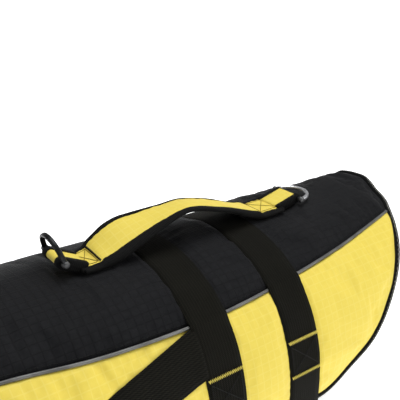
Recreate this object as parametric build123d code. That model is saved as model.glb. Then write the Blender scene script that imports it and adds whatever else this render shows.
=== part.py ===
from build123d import *
import os
from math import atan2, cos, degrees, pi, radians, sin

# Buoyancy vest for a large dog, worn on the trunk.
# Millimetres. X runs from head to tail, -Y is the dog's left side, +Z is up.
# The origin is on the trunk's axis, midway between the two girth straps.

os.makedirs("parts", exist_ok=True)

# --- Trunk section: a rounded square of flatter arcs joined by corner arcs -------------------
HALF = 128.2             # half the width and half the height of the vest's outside
FLAT_R = 153.7           # radius of the four flatter arcs
FLAT_ANGLE = 25.0        # half the angle that each flatter arc covers
FABRIC = 1.2             # outer panels and lining
FOAM = 14.8
GAP = 0.05               # between pieces that lie on each other

# --- Webbing and bars ------------------------------------------------------------------------
WEB = 40.0               # webbing width
WEB_T = 2.0              # webbing thickness
STRAP_X = 47.1           # girth strap centres, each side of the origin
STITCH_S = (154.5, 189.0)  # bar stitches, measured round the section from the ridge
BELT_W = HALF + GAP      # inside of the free straps, at the sides
BELT_R = 84.0            # inside corner radius of the free straps
BELLY = 133.0            # inside of the girth straps, below the trunk axis
CHEST_REACH = 130.0      # inside of the chest strap, ahead of where it leaves the flank
CHEST_TILT = 15.5        # degrees that the chest strap runs down towards the head
LEAVE_X = -257.0         # where the chest strap leaves the flank
CHEST_EDGES = ((-67.4, 106.5, 152.0), (-157.0, 133.0, 176.0), (LEAVE_X, 162.0, 205.0))

# --- Outlines: (x, distance round the section from the ridge) ----------------------------------
SEAM = ((-300, 86.5), (-228, 90.6), (-151, 101), (-66, 105), (0, 102.6), (69, 95.6), (138, 85.7),
        (177, 78), (239, 64), (290, 48))
REAR = ((258, 0), (257, 20), (249, 46), (239, 63), (226, 86), (213, 109))
REAR_SIDE = ((258, 20), (249, 46), (239, 63), (213, 109), (185, 149), (150, 190), (114, 212), (87, 229))
LOWER = ((67, 232), (-67, 232))
LEG_CUT = ((-85, 226), (-112, 208), (-147, 197), (-187, 196), (-227, 203), (-257, 214))
FRONT_SIDE = ((-273, 213), (-282, 195), (-284, 150), (-281, 88), (-280, 20))
NECK_X = -281.0          # front edge of the back panel at the seam
NECK_DIP = 9.0           # how far the neck edge lies back at the ridge
BIND = 4.5               # width of the edge binding
BIND_T = 0.9             # how far it stands proud of each face
PIPE_W, PIPE_T = 2.0, 1.5  # reflective piping, seen from above, and its height

# --- Handle ------------------------------------------------------------------------------------
HANDLE_UNDER = ((-105, 0.2), (-92, 2.6), (-78, 7.6), (-63, 13.2), (-40, 20.6), (-22, 25.4), (-10, 27),
                (4, 25), (24, 19.2), (41, 14.2), (57, 8.4), (72, 3.0), (84, 0.2))
PATCH_FRONT = -124.0     # ends of the handle's sewn patches
PATCH_REAR = 113.0
HANDLE_W = 44.0
COVER_W = 32.0
HANDLE_T = 7.6
COVER_T = 1.2
BASE_T = 2.0

# --- Lead rings and their tabs --------------------------------------------------------------------
RING_R = 20.0            # centre line of the bow
RING_WIRE = 2.1          # wire radius
RING_RISE = 1.5          # straight leg between bar and bow
BARREL_R, BARREL_L = 3.3, 5.0
RUN_FIT = 0.08           # radial clearance of a bar in its loop
FRONT_BAR = (-142.0, HALF + 16.0)
FRONT_LEAN = 105.6       # degrees from the tail direction up to the bow
REAR_BAR = (139.0, HALF + 9.0)
REAR_LEAN = 2.0
TAB_W, TAB_T = 33.0, 5.4

# --- Side-release buckle, along the strap (u), inward (h) and across the strap (v) -------------------
BUCKLE_V = 52.0
BUCKLE_T = 13.0
MOUTH_U, BLOCK_U, BAR_U, PLUG_BAR_U = 2.0, -33.0, -41.0, 24.0
WALL = 2.0
SOCKET_V, WINDOW_U = 43.0, (-27.0, -13.0)
BAR_R = 2.5
PIVOT_U, PIVOT_V, PIVOT_R = 6.5, 14.0, 2.5
ARM_T = 7.0
PLUG_T = 8.0
LOOP_R = BAR_R + RUN_FIT + WEB_T
FOLD_U = 60.0            # where the webbing folded round the plug ends
TAIL_GAP = 0.1

# --- Chest pad ------------------------------------------------------------------------------------
PAD_H, PAD_T, PAD_BACK = 96.0, 12.5, 68.0
PAD_GAP = 2.3            # room for the buckle between the strap and the pad


# ==================================================================================================
# Trunk section
# ==================================================================================================
spread = (FLAT_R - HALF) / (cos(radians(FLAT_ANGLE)) - sin(radians(FLAT_ANGLE)))
CORNER_R = FLAT_R - spread
CORNER_C = spread * sin(radians(FLAT_ANGLE))


def on_skin(s, out=0.0):
    """Point (y, z) and lean from the vertical, at s round the section from the ridge."""
    flat, turn = radians(FLAT_ANGLE), s / FLAT_R
    if turn <= flat:
        return (FLAT_R + out) * sin(turn), HALF - FLAT_R + (FLAT_R + out) * cos(turn), turn
    turn = flat + (s - FLAT_R * flat) / CORNER_R
    if turn <= pi / 2 - flat:
        r = CORNER_R + out
        return CORNER_C + r * sin(turn), CORNER_C + r * cos(turn), turn
    past = s - FLAT_R * flat - CORNER_R * (pi / 2 - 2 * flat)
    turn = pi / 2 - flat + past / FLAT_R
    return HALF - FLAT_R + (FLAT_R + out) * sin(turn), (FLAT_R + out) * cos(turn), turn


def section(out):
    """The whole section as a face, grown by out."""
    sides = []
    for quarter in range(4):
        flat = CenterArc((HALF - FLAT_R, 0), FLAT_R + out, -FLAT_ANGLE, 2 * FLAT_ANGLE)
        corner = CenterArc((CORNER_C, CORNER_C), CORNER_R + out, FLAT_ANGLE, 90 - 2 * FLAT_ANGLE)
        sides += [Rot(0, 0, 90 * quarter) * flat, Rot(0, 0, 90 * quarter) * corner]
    return make_face(sides)


def layer(low, high, x0=-320.0, x1=320.0):
    """Tube of the section between two offsets from the outside."""
    return extrude(Plane.YZ.offset(x0) * (section(high) - section(low)), x1 - x0)


# ==================================================================================================
# Outlines of the panels
# ==================================================================================================
def from_above(points, side):
    return [(x, side * on_skin(s)[0]) for x, s in points]


def from_side(points):
    return [(x, on_skin(s)[1]) for x, s in points]


def between_seams(grow=0.0):
    """Upright prism between the two seams, widened by grow."""
    left = [(x, y - grow) for x, y in from_above(SEAM, -1)]
    right = [(x, y + grow) for x, y in from_above(SEAM, 1)]
    ends = [Line(left[0], right[0]), Line(left[-1], right[-1])]
    return extrude(make_face([Spline(*left), Spline(*right)] + ends), 200)


def neck_to_rear(inset=0.0):
    """Upright prism between the neck edge and the rear edge of the back panel."""
    rear = [(x - inset, y) for x, y in from_above(REAR[::-1], -1) + from_above(REAR[1:], 1)]
    side_y = rear[-1][1]
    neck = [(NECK_X + inset, -side_y), (NECK_X + NECK_DIP + inset, 0), (NECK_X + inset, side_y)]
    edges = [Spline(*rear), ThreePointArc(*neck), Line(rear[0], neck[0]), Line(rear[-1], neck[-1])]
    return extrude(make_face(edges), 200)


def moved_in(points, inset):
    """Open outline moved to its right-hand side, point by point."""
    moved = []
    for i, (x, z) in enumerate(points):
        (ax, az), (bx, bz) = points[max(i - 1, 0)], points[min(i + 1, len(points) - 1)]
        length = ((bx - ax) ** 2 + (bz - az) ** 2) ** 0.5
        moved.append((x + inset * (bz - az) / length, z - inset * (bx - ax) / length))
    return moved


def flank_outline(inset=0.0):
    """Side view of a flank, reaching above the seam."""
    points = moved_in(from_side(REAR_SIDE + LOWER + LEG_CUT + FRONT_SIDE), inset)
    n, m, top = len(REAR_SIDE), len(REAR_SIDE) + len(LOWER), HALF + 20
    rear, low, front = points[:n], points[n:m], points[m:]
    edges = [Spline(*rear), Polyline(rear[-1], *low), Spline(low[-1], *front),
             Polyline(front[-1], (front[-1][0], top), (rear[0][0], top), rear[0])]
    return make_face(edges)


flank, flank_inset = flank_outline(), flank_outline(BIND)
seams = between_seams()
back_full, back_inset = neck_to_rear(), neck_to_rear(BIND)


def left_prism(face):
    return extrude(Plane.XZ * face, 200)


def mirrored(shape):
    return mirror(shape, about=Plane.XZ)


nodes = {}


def pair(name, shape):
    nodes["left_" + name] = shape
    nodes["right_" + name] = mirrored(shape)


# ==================================================================================================
# Back, flanks, lining and edges
# ==================================================================================================
inner_face = -FABRIC - FOAM - FABRIC
back_region = seams & back_inset


def flank_layer(low, high):
    return (layer(low, high) & left_prism(flank_inset)) - seams



nodes["back_panel"] = layer(-FABRIC, 0) & back_region
nodes["back_foam"] = layer(-FABRIC - FOAM, -FABRIC) & back_region
nodes["back_lining"] = layer(inner_face, -FABRIC - FOAM) & back_region
pair("flank_panel", flank_layer(-FABRIC, 0))
pair("flank_foam", flank_layer(-FABRIC - FOAM, -FABRIC))
pair("flank_lining", flank_layer(inner_face, -FABRIC - FOAM))

rim = layer(inner_face - BIND_T, BIND_T)
back_rim = rim & seams & (back_full - back_inset)
nodes["rear_binding"] = back_rim & Pos(200, 0, 0) * Box(300, 400, 400)
nodes["neck_binding"] = back_rim & Pos(-200, 0, 0) * Box(300, 400, 400)
left_rim = ((rim & left_prism(flank)) - left_prism(flank_inset)) - seams
pair("flank_binding", left_rim)

pipe_band = (between_seams(PIPE_W / 2) - between_seams(-PIPE_W / 2)) & back_inset
left_pipe = layer(GAP, PIPE_T) & pipe_band & Pos(0, -200, 0) * Box(700, 400, 400)
pair("piping", left_pipe - left_rim)

# ==================================================================================================
# Webbing on the back and the flanks
# ==================================================================================================
relief_band = between_seams(PIPE_W / 2 + 0.2) - between_seams(-PIPE_W / 2 - 0.2)
pipe_relief = layer(-1, PIPE_T + 0.1) & relief_band
stitch_z = on_skin(STITCH_S[1])[1]


def back_strap(x):
    web = layer(GAP, GAP + WEB_T, x - WEB / 2, x + WEB / 2)
    return web & Pos(0, 0, stitch_z + 200) * Box(700, 400, 400) - pipe_relief


def bar_stitches(x):
    """Zigzag thread bars across a girth strap, on both flanks."""
    bars = Part()
    for s in STITCH_S:
        y, z, lean = on_skin(s - 2 * (s > 160), GAP + WEB_T + 0.5)
        bar = Pos(x, -y, z) * Rot(degrees(lean), 0, 0) * Box(WEB - 4, 2.4, 0.7)
        bars += bar + mirrored(bar)
    return bars


# ==================================================================================================
# Free webbing: a belt in a plane, u across the dog, h towards the trunk, v across the webbing
# ==================================================================================================
def belt(plane, reach, low, high, u_range, h_range, width=WEB):
    """Part of a rounded belt between two offsets, cut to ranges of u and h."""
    def outline(out):
        return RectangleRounded(2 * (BELT_W + out), 2 * (reach + out), BELT_R + out)
    band = extrude(outline(high) - outline(low), width / 2, both=True)
    (u0, u1), (h0, h1) = u_range, h_range
    keep = Pos((u0 + u1) / 2, (h0 + h1) / 2, 0) * Box(u1 - u0, h1 - h0, 2 * width)
    return plane * (band & keep)


def rod(radius, length, u, h=0.0):
    return Pos(u, h, 0) * Cylinder(radius, length)


def loop_round(u):
    return rod(LOOP_R, WEB, u) - rod(BAR_R + RUN_FIT, WEB + 2, u)


def block(u0, u1, thick, v0, v1, h=0.0):
    return Pos((u0 + u1) / 2, h, (v0 + v1) / 2) * Box(u1 - u0, thick, v1 - v0)


def across(points, thick):
    """Prism of an outline in (u, v), centred on h = 0."""
    face = make_face(Polyline(*points, close=True))
    return Rot(90, 0, 0) * extrude(face, thick / 2, both=True)


def buckle_housing():
    shell = block(BLOCK_U, MOUTH_U, BUCKLE_T, -BUCKLE_V / 2, BUCKLE_V / 2)
    shell = fillet(shell.edges().filter_by(Axis.Y), 4)
    shell = fillet(shell.edges().filter_by(Axis.Z), 2)
    socket = block(BLOCK_U + 3, MOUTH_U + 1, BUCKLE_T - 2 * WALL, -SOCKET_V / 2, SOCKET_V / 2)
    windows = block(*WINDOW_U, BUCKLE_T - 2 * WALL, -BUCKLE_V, BUCKLE_V)
    ears = Part()
    for side in (-1, 1):
        v = sorted((side * 21.5, side * BUCKLE_V / 2))
        ears += block(BAR_U, BLOCK_U + 2, 2 * BAR_R, *v)
        ears += Pos(0, 0, sum(v) / 2) * rod(BAR_R, v[1] - v[0], BAR_U)
    return shell - socket - windows + ears + rod(BAR_R, BUCKLE_V, BAR_U)


def buckle_plug():
    base = block(4, 12, PLUG_T, -25, 25)
    base = fillet(base.edges().filter_by(Axis.Z), 1.5)
    tongue = block(-28, 5, 5, -4, 4)
    tongue = chamfer(tongue.edges().group_by(Axis.X)[0], 1.2)
    ears = Part()
    for side in (-1, 1):
        v = sorted((side * 21, side * 25))
        ears += block(10, PLUG_BAR_U, 2 * BAR_R, *v)
        ears += Pos(0, 0, sum(v) / 2) * rod(BAR_R, v[1] - v[0], PLUG_BAR_U)
    plug = base + tongue + ears + rod(BAR_R, 50, PLUG_BAR_U)
    for side in (-1, 1):
        pocket = Pos(PIVOT_U, 0, side * PIVOT_V) * Rot(90, 0, 0) * Cylinder(PIVOT_R + RUN_FIT, 20)
        v = sorted((side * 10.2, side * 17.2))
        plug -= pocket + block(3, PIVOT_U, 20, *v)
    return plug


def buckle_arm(side):
    """Squeeze arm whose shoulder catches behind the window's edge."""
    outline = [(6.5, 12), (-10, 11.6), (-26.5, 11.6), (-28, 13), (-27, 18.6), (-17, 24.6), (-14.2, 24.6),
               (-14.2, 17.4), (-6, 16.4), (6.5, 16)]
    beam = across([(u, side * v) for u, v in outline], ARM_T)
    knuckle = Pos(PIVOT_U, 0, side * PIVOT_V) * Rot(90, 0, 0) * Cylinder(PIVOT_R, ARM_T)
    return beam + knuckle


def keeper(plane, reach):
    """Elastic loop round the strap and its tail, on the straight run beside the corner."""
    h0 = BELT_R - reach + 2
    far = 2 * WEB_T + TAIL_GAP
    ring = belt(plane, reach, -1.0, far + 1.0, (0, 200), (h0, h0 + 12), WEB + 3)
    return ring - belt(plane, reach, -0.2, far + 0.2, (0, 200), (h0 - 1, h0 + 13), WEB + 0.6)


def fasten(name, arms, plane, reach, top):
    """Both free straps of a belt with their buckle, tail and keeper. Top ends the straps."""
    centre = plane * Pos(0, -reach - LOOP_R, 0)
    under = (-reach - 20, top)
    left = belt(plane, reach, 0, WEB_T, (-200, BAR_U), under) + centre * loop_round(BAR_U)
    fold = belt(plane, reach, 0, WEB_T, (PLUG_BAR_U, FOLD_U), (-reach - 20, 0))
    tail_layer = (WEB_T + TAIL_GAP, 2 * WEB_T + TAIL_GAP)
    fold += belt(plane, reach, *tail_layer, (PLUG_BAR_U + 3, FOLD_U), (-reach - 20, 0))
    nodes[name + "_plug_webbing"] = fold + centre * loop_round(PLUG_BAR_U)
    tail_end = BELT_R - reach + 22
    nodes[name + "_tail"] = belt(plane, reach, *tail_layer, (FOLD_U + GAP, 200),
                                 (-reach - 20, tail_end))
    nodes[name + "_keeper"] = keeper(plane, reach)
    nodes[name + "_buckle_housing"] = centre * buckle_housing()
    nodes[name + "_buckle_plug"] = centre * buckle_plug()
    for side, arm in zip((1, -1), arms):
        nodes[name + "_buckle_" + arm] = centre * buckle_arm(side)
    return left, belt(plane, reach, 0, WEB_T, (FOLD_U + GAP, 200), under)


for name, x in (("front", -STRAP_X), ("rear", STRAP_X)):
    plane = Plane((x, 0, 0), x_dir=(0, 1, 0), z_dir=(1, 0, 0))
    left, right = fasten(name, ("rear_arm", "front_arm"), plane, BELLY, stitch_z - GAP)
    nodes[name + "_strap_left"] = left
    nodes[name + "_strap_right"] = right
    nodes[name + "_strap_back"] = back_strap(x)
    nodes[name + "_bar_stitches"] = bar_stitches(x)

# ==================================================================================================
# Chest straps and chest pad
# ==================================================================================================
upper = from_side([(x, s) for x, s, _ in CHEST_EDGES])
lower = from_side([(x, s) for x, _, s in CHEST_EDGES])
leave_z = (upper[-1][1] + lower[-1][1]) / 2
tilt = radians(CHEST_TILT)
chest = Plane((LEAVE_X, 0, leave_z), x_dir=(0, 1, 0), z_dir=(sin(tilt), 0, -cos(tilt)))
band_edges = [Spline(*upper), Spline(*lower), Line(upper[0], lower[0]), Line(upper[-1], lower[-1])]
on_flank = layer(GAP, GAP + WEB_T) & left_prism(make_face(band_edges))
left, right = fasten("chest", ("lower_arm", "upper_arm"), chest, CHEST_REACH, 12)
over_rim = (layer(-1, BIND_T + GAP) & left_prism(flank)) - left_prism(flank_inset)
nodes["chest_strap_left"] = left + on_flank - over_rim
nodes["chest_strap_right"] = right + mirrored(on_flank) - mirrored(over_rim)

pad_range = ((-200, 200), (-CHEST_REACH - 20, -CHEST_REACH + PAD_BACK))
core_range = ((-200, 200), (-CHEST_REACH - 20, -CHEST_REACH + PAD_BACK - FABRIC))
pad = belt(chest, CHEST_REACH, -PAD_GAP - PAD_T, -PAD_GAP, *pad_range, PAD_H)
core_faces = (FABRIC - PAD_GAP - PAD_T, -PAD_GAP - FABRIC)
core = belt(chest, CHEST_REACH, *core_faces, *core_range, PAD_H - 2 * FABRIC)
nodes["chest_pad_cover"] = pad - core
nodes["chest_pad_foam"] = core


# ==================================================================================================
# Handle, tabs and rings
# ==================================================================================================
def handle_band(low, high, y0, y1):
    """Strip of the handle between two heights over its underside."""
    def line(up):
        points = [(x, HALF + z + up) for x, z in HANDLE_UNDER]
        return points, Spline(*points, tangents=[(1, 0.05), (1, -0.05)])
    (bottom, bottom_line), (top, top_line) = line(low), line(high)
    front = [bottom[0], (PATCH_FRONT, bottom[0][1]), (PATCH_FRONT, top[0][1]), top[0]]
    rear = [bottom[-1], (PATCH_REAR, bottom[-1][1]), (PATCH_REAR, top[-1][1]), top[-1]]
    face = make_face([bottom_line, top_line, Polyline(*front), Polyline(*rear)])
    strip = extrude(Plane.XZ * face, y1 - y0)
    return Pos(0, y1, 0) * strip


edge = COVER_W / 2
nodes["handle_webbing"] = handle_band(0, BASE_T, -edge, edge)
nodes["handle_core"] = handle_band(BASE_T, HANDLE_T - COVER_T, -edge, edge)
nodes["handle_cover"] = handle_band(HANDLE_T - COVER_T, HANDLE_T, -edge, edge)
near_edge = handle_band(0, HANDLE_T - 1, -HANDLE_W / 2, -edge)
nodes["handle_binding"] = near_edge + mirrored(near_edge)


def box_stitch(x0, x1):
    """Box with a cross, sewn through a patch of the handle."""
    top, half, thread = HALF + 0.2 + HANDLE_T + 0.4, edge - 3, 1.2
    cx, length = (x0 + x1) / 2, x1 - x0
    span = (length ** 2 + (2 * half) ** 2) ** 0.5
    slant = degrees(atan2(2 * half, length))
    bars = Part()
    for side in (-1, 1):
        bars += Pos(cx, side * half, top) * Box(length + thread, thread, 0.7)
        bars += Pos(cx + side * length / 2, 0, top) * Box(thread, 2 * half, 0.7)
        bars += Pos(cx, 0, top) * Rot(0, 0, side * slant) * Box(span, thread, 0.7)
    return bars


nodes["handle_stitching"] = box_stitch(-122, -107) + box_stitch(86, 111)


def tab(bar, root):
    """Webbing folded round a ring's bar; root is its sewn end, (x, z) of the middle."""
    bx, bz = bar
    rx, rz = root
    length = ((rx - bx) ** 2 + (rz - bz) ** 2) ** 0.5
    ux, uz = (rx - bx) / length * TAB_T / 2, (rz - bz) / length * TAB_T / 2
    corners = ((bx - uz, bz + ux), (rx - uz, rz + ux), (rx + uz, rz - ux), (bx + uz, bz - ux))
    slab = make_face(Polyline(*corners, close=True))
    wall = 2.6
    loop = Pos(bx, bz) * Circle(RING_WIRE + RUN_FIT + wall)
    profile = slab + loop - Pos(bx, bz) * Circle(RING_WIRE + RUN_FIT)
    return extrude(Plane.XZ * profile, TAB_W / 2, both=True)


def ring(bar, lean):
    """D-shaped lead ring, its straight bar along Y and its bow leaning from the tail direction."""
    bow = Line((-RING_R, 0), (-RING_R, RING_RISE))
    bow += ThreePointArc((-RING_R, RING_RISE), (0, RING_RISE + RING_R), (RING_R, RING_RISE))
    bow += Line((RING_R, RING_RISE), (RING_R, 0))
    start = Plane((-RING_R, 0, 0), x_dir=(1, 0, 0), z_dir=(0, 1, 0))
    wire = sweep(start * Circle(RING_WIRE), path=bow)
    straight = Rot(0, 90, 0) * Cylinder(RING_WIRE, 2 * RING_R)
    barrels = Part()
    for side in (-1, 1):
        barrel = Rot(0, 90, 0) * Cylinder(BARREL_R, BARREL_L)
        barrels += Pos(side * RING_R, 0, 0) * fillet(barrel.edges(), 1.0)
    a = radians(lean)
    place = Plane((bar[0], 0, bar[1]), x_dir=(0, 1, 0), z_dir=(sin(a), 0, -cos(a)))
    return place * (wire + straight + barrels)


patch_top = HALF + 0.2 + 3.2
nodes["front_ring_tab"] = tab(FRONT_BAR, (PATCH_FRONT - 2.5, patch_top))
nodes["rear_ring_tab"] = tab(REAR_BAR, (PATCH_REAR + 2.5, patch_top))
nodes["front_ring"] = ring(FRONT_BAR, FRONT_LEAN)
nodes["rear_ring"] = ring(REAR_BAR, REAR_LEAN)

for name, shape in nodes.items():
    export_step(shape, f"parts/{name}.step")
print(len(nodes), "nodes")
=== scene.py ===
from math import atan2, cos, hypot, pi, radians, sin, tan

import bmesh
import bpy
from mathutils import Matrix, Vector, kdtree, noise


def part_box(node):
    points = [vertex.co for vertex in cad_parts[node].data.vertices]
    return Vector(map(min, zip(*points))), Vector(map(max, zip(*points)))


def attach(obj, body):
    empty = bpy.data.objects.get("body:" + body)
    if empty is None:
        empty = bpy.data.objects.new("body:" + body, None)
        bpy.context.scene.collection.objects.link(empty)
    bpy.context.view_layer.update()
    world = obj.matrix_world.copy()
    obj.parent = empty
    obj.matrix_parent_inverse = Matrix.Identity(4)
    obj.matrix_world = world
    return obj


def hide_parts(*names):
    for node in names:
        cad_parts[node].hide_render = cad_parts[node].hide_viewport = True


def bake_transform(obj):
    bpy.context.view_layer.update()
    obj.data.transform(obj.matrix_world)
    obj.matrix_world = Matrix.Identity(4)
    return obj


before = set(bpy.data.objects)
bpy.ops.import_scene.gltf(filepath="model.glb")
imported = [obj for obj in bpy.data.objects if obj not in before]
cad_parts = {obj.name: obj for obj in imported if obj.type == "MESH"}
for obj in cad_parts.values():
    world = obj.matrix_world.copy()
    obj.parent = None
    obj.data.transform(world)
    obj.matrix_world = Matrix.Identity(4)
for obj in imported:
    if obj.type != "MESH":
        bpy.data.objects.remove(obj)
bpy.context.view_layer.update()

MM = 0.001

# --- The trunk section, in millimetres: flatter arcs joined by corner arcs ---------------------
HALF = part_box("back_panel")[1].z / MM
FLAT_R, FLAT = 153.7, radians(25)
SPREAD = (FLAT_R - HALF) / (cos(FLAT) - sin(FLAT))
CORNER_R, CORNER_C = FLAT_R - SPREAD, SPREAD * sin(FLAT)

# --- Outlines: x along the back against distance round the section from the ridge ---------------
SEAM = ((-300, 86.5), (-228, 90.6), (-151, 101), (-66, 105), (0, 102.6), (69, 95.6), (138, 85.7),
        (177, 78), (239, 64), (290, 48))
REAR = ((0, 258), (20, 257), (46, 249), (63, 239), (86, 226))
SEAM_ENDS = (88.0, 64.0)  # s of the seam at the neck and at the rear
FLANK_REAR = 239
LOW = ((-281, 188), (-278, 203), (-270, 212.5), (-257, 214), (-227, 203), (-187, 196), (-147, 197),
       (-112, 208), (-85, 226), (-67, 232), (0, 232), (67, 232), (87, 229), (114, 212), (150, 190),
       (185, 149), (213, 109), (239, 63))
FRONT = ((80, -280.5), (150, -284), (200, -279))
NECK_SIDE, NECK_DIP = -281.0, 9.0

# --- Webbing and buckles: u runs across the body, h up or away from it ----------------------------
WEB, WEB_T = 40.0, 1.9
STRAP_X = 47.1
BAR_S = (154.5, 189.0)  # s of the two bar stitches on each girth strap
BELT_W, BELT_R = HALF + 0.05, 84.0
BELLY, CHEST_REACH = 133.0, 130.0
BAR_U, PLUG_BAR_U, LOOP_R = -41.0, 24.0, 4.58
TILT = radians(15.5)  # lean of the chest strap's free part
CHEST_START, LEAVE_X, FREE_RUN = -64.0, -257.0, 36
CHEST_RUN = CHEST_START - LEAVE_X + FREE_RUN
CHEST_UPPER = ((-300, 174), (-257, 162), (-157, 133), (-67, 106.5), (-40, 98))
CHEST_LOWER = ((-300, 217), (-257, 205), (-157, 176), (-67, 152), (-40, 144))

# --- Grab handle, as (x, millimetres): rise of its underside, twist across it, thinning -----------
FRONT_END, REAR_END, HANDLE_STEPS = -124, 113, 110
UNDER = ((-124, 0.2), (-105, 0.2), (-92, 2.6), (-78, 7.6), (-63, 13.2), (-40, 20.6), (-22, 25.4),
         (-10, 27), (4, 25), (24, 19.2), (41, 14.2), (57, 8.4), (72, 3.0), (84, 0.2), (113, 0.2))
TWIST = ((-124, 0), (-110, 1), (-98, 5.5), (-84, 9.5), (-70, 9), (-54, 5), (-33, -0.5), (-15, -4),
         (3, -2.5), (28, -1), (61, -1.5), (85, 0), (113, 0))
SLIM = ((-124, 0), (-75, 0), (-24, 3.2), (41, 3.2), (70, 0), (113, 0))
HANDLE_T, COVER_HALF = 7.6, 16.0
PATCHES = ((-116, 24), (98, 30))  # x and half length of the handle's sewn patches

# --- Ring bars as (x, z), and the places where their tabs start ----------------------------------
FRONT_BAR, REAR_BAR = Vector((-142.0, HALF + 16.0)), Vector((139.0, HALF + 9.0))
FRONT_ROOT, REAR_ROOT = Vector((-120.0, HALF + 3.6)), Vector((109.0, HALF + 2.6))
RING_R, RING_RISE = 20.0, 1.5

# --- Chest pad ------------------------------------------------------------------------------------
PAD_HALF, PAD_T, PAD_GAP = 48.0, 12.5, 2.3
PAD_COLUMNS, PAD_ROWS = 90, 17

# --- Air in the big pads --------------------------------------------------------------------------
AIR_PRESSURE, SWELL_CAP, CLOTH_SLACK, CLOTH_FRAMES = 3, 3.0, 0.03, 20


# ============================================================
# Curves and the skin of the trunk
# ============================================================
def ease(t):
    """0 below t = 0, 1 above t = 1, smooth between."""
    t = min(max(t, 0), 1)
    return t * t * (3 - 2 * t)


def fade(distance, length):
    """Falls from 1 by about e for each length."""
    return 2.718 ** (-distance / length)


def bell(distance, width):
    return 2.718 ** (-(distance / width) ** 2)


def smooth(points):
    """Smooth curve through (a, b) points, as a function of a."""
    def slope(i):
        low, high = max(i - 1, 0), min(i + 1, len(points) - 1)
        return (points[high][1] - points[low][1]) / (points[high][0] - points[low][0])

    def value(a):
        i = 0
        while i < len(points) - 2 and a > points[i + 1][0]:
            i += 1
        (a0, b0), (a1, b1) = points[i], points[i + 1]
        t = min(max((a - a0) / (a1 - a0), 0), 1)
        m0, m1 = slope(i) * (a1 - a0), slope(i + 1) * (a1 - a0)
        return ((2 * t ** 3 - 3 * t ** 2 + 1) * b0 + (t ** 3 - 2 * t ** 2 + t) * m0
                + (3 * t ** 2 - 2 * t ** 3) * b1 + (t ** 3 - t ** 2) * m1)
    return value


seam, rear_edge, low_edge, front_edge = smooth(SEAM), smooth(REAR), smooth(LOW), smooth(FRONT)
chest_upper, chest_lower = smooth(CHEST_UPPER), smooth(CHEST_LOWER)
under, twist, slim = smooth(UNDER), smooth(TWIST), smooth(SLIM)


def on_section(s, out=0.0):
    """Point (y, z) and outward normal at s round the section; s below 0 is the dog's left."""
    a, side = abs(s), (1 if s >= 0 else -1)
    turn = a / FLAT_R
    if turn <= FLAT:
        y, z = (FLAT_R + out) * sin(turn), HALF - FLAT_R + (FLAT_R + out) * cos(turn)
    else:
        turn = FLAT + (a - FLAT_R * FLAT) / CORNER_R
        if turn <= pi / 2 - FLAT:
            y, z = CORNER_C + (CORNER_R + out) * sin(turn), CORNER_C + (CORNER_R + out) * cos(turn)
        else:
            turn = pi / 2 - FLAT + (a - FLAT_R * FLAT - CORNER_R * (pi / 2 - 2 * FLAT)) / FLAT_R
            y, z = HALF - FLAT_R + (FLAT_R + out) * sin(turn), (FLAT_R + out) * cos(turn)
    return side * y, z, side * sin(turn), cos(turn)


def flare(x, s):
    """The back pad's free end stands up at the ridge and dips beside it."""
    lip = ease((s + 30) / 27) * ease((44 - s) / 20)
    return ease((x - 165) / 90) * (8.5 * lip - 4.0 * ease((s - 36) / 14) * ease((90 - s) / 15))


def skin(x, s, out=0.0):
    """Point out millimetres over the trunk's skin, in metres."""
    y, z = on_section(s, out + flare(x, s))[:2]
    return Vector((x, y, z)) * MM


def lift(s):
    """Outward normal of the section."""
    return Vector((0, *on_section(s)[2:]))


def neck_edge(s):
    return NECK_SIDE + NECK_DIP * (1 - (on_section(s)[0] / on_section(109)[0]) ** 2)


def ripple(x, s, size, seed=0.0):
    """Slow unevenness from -1 to 1 with bumps of size millimetres."""
    return noise.noise(Vector((x / size, s / size, seed)))


# ============================================================
# Mesh making
# ============================================================
def linked(name, data):
    holder = bpy.data.objects.new(name, data)
    bpy.context.scene.collection.objects.link(holder)
    return holder


def dressed(name, mesh, *finishes):
    """Smooth shaded object with the finishes given as its materials."""
    mesh.materials.clear()
    for finish in finishes:
        mesh.materials.append(finish)
    for polygon in mesh.polygons:
        polygon.use_smooth = True
    return linked(name, mesh)


def mesh_piece(name, bm, *finishes):
    mesh = bpy.data.meshes.new(name)
    bm.to_mesh(mesh)
    bm.free()
    return dressed(name, mesh, *finishes)


def surface(name, nu, nv, place, finishes, flat_uv, thick=0.0):
    """Grid bent by place(i, j), with flat coordinates in metres; thick closes it to a shell."""
    bm = bmesh.new()
    bmesh.ops.create_grid(bm, x_segments=nu, y_segments=nv, size=0.5)
    uv = bm.loops.layers.uv.new("flat")
    index = {v: (round((v.co.x + 0.5) * nu), round((v.co.y + 0.5) * nv)) for v in bm.verts}
    for face in bm.faces:
        for loop in face.loops:
            loop[uv].uv = [k * MM for k in flat_uv(*index[loop.vert])]
    for v, (i, j) in index.items():
        v.co = place(i, j)
    bmesh.ops.remove_doubles(bm, verts=bm.verts, dist=1e-5)
    bmesh.ops.dissolve_degenerate(bm, dist=1e-6, edges=bm.edges)
    if not thick:
        bmesh.ops.holes_fill(bm, edges=[e for e in bm.edges if e.is_boundary], sides=0)
    bmesh.ops.recalc_face_normals(bm, faces=bm.faces)
    if thick:
        bmesh.ops.solidify(bm, geom=bm.faces[:], thickness=thick * MM)
        bmesh.ops.recalc_face_normals(bm, faces=bm.faces)
    return mesh_piece(name, bm, *(finishes if isinstance(finishes, list) else [finishes]))


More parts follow.
